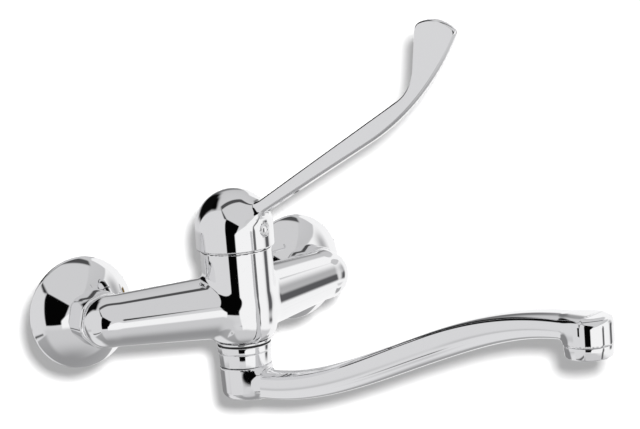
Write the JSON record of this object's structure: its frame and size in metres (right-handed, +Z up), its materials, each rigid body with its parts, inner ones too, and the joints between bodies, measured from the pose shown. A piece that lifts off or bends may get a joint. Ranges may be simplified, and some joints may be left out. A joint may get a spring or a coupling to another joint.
{
  "type": "elbow lever tap",
  "caption": "Wall-mounted mixer tap with a long elbow lever that lifts and turns, a ceramic disc cartridge, round cover rosettes and a long S-shaped swivel spout.",
  "frame": {"origin": "on the wall plane, midway between the two wall connections", "axes": "+X to the right along the wall connections as the user faces the wall, +Y into the wall, +Z up"},
  "size_m": [0.2172, 0.3235, 0.2234],
  "materials": {
    "polished_chrome": "mirror-polished chrome plate",
    "bare_brass": "machined",
    "black_rubber": "moulded",
    "white_plastic": "moulded",
    "blue_plastic": "moulded",
    "disc_ceramic": "lapped",
    "plain_steel": "machined"
  },
  "bodies": {
    "base": {"tap_body": "polished_chrome", "left_wall_union": "bare_brass", "right_wall_union": "bare_brass", "left_rosette": "polished_chrome", "right_rosette": "polished_chrome", "left_union_nut": "polished_chrome", "right_union_nut": "polished_chrome", "left_snap_ring": "plain_steel", "right_snap_ring": "plain_steel", "left_gasket": "black_rubber", "right_gasket": "black_rubber", "cartridge_base": "white_plastic", "hot_seal": "black_rubber", "cold_seal": "black_rubber", "outlet_seal": "black_rubber", "fixed_disc": "disc_ceramic", "cartridge_housing": "white_plastic", "cartridge_nut": "bare_brass", "cover_ring": "polished_chrome", "collar_nut": "polished_chrome"},
    "turning_stem_holder": {"stem_rotor": "white_plastic", "pivot_pin": "plain_steel"},
    "elbow_lever": {"lever": "polished_chrome", "lever_stem": "plain_steel", "grub_screw": "plain_steel", "index_plug": "polished_chrome"},
    "valve_slide": {"disc_carrier": "blue_plastic", "moving_disc": "disc_ceramic"},
    "swivel_spout": {"spout": "polished_chrome", "slip_ring": "white_plastic", "upper_o_ring": "black_rubber", "lower_o_ring": "black_rubber", "aerator_housing": "polished_chrome", "aerator_insert": "white_plastic", "aerator_washer": "black_rubber"}
  },
  "joints": [
    {"name": "lever_turn", "type": "hinge", "parent": "base", "child": "turning_stem_holder", "pos_m": [0, -0.0602, 0.021], "axis": [0, 0, 1], "range_deg": [-70, 30]},
    {"name": "lever_lift", "type": "hinge", "parent": "turning_stem_holder", "child": "elbow_lever", "pos_m": [0, -0.0602, 0.021], "axis": [-0.9397, -0.342, 0], "range_deg": [0, 25]},
    {"name": "disc_slide", "type": "slide", "parent": "turning_stem_holder", "child": "valve_slide", "axis": [0.342, -0.9397, 0], "range_m": [0, 0.0059]},
    {"name": "spout_swivel", "type": "hinge", "parent": "base", "child": "swivel_spout", "pos_m": [0, -0.0602, -0.05], "axis": [0, 0, 1], "range_deg": [-111, 79]}
  ],
  "couplings": [
    {"joint": "disc_slide", "follows": "lever_lift", "m_per_rad": 0.0135}
  ]
}
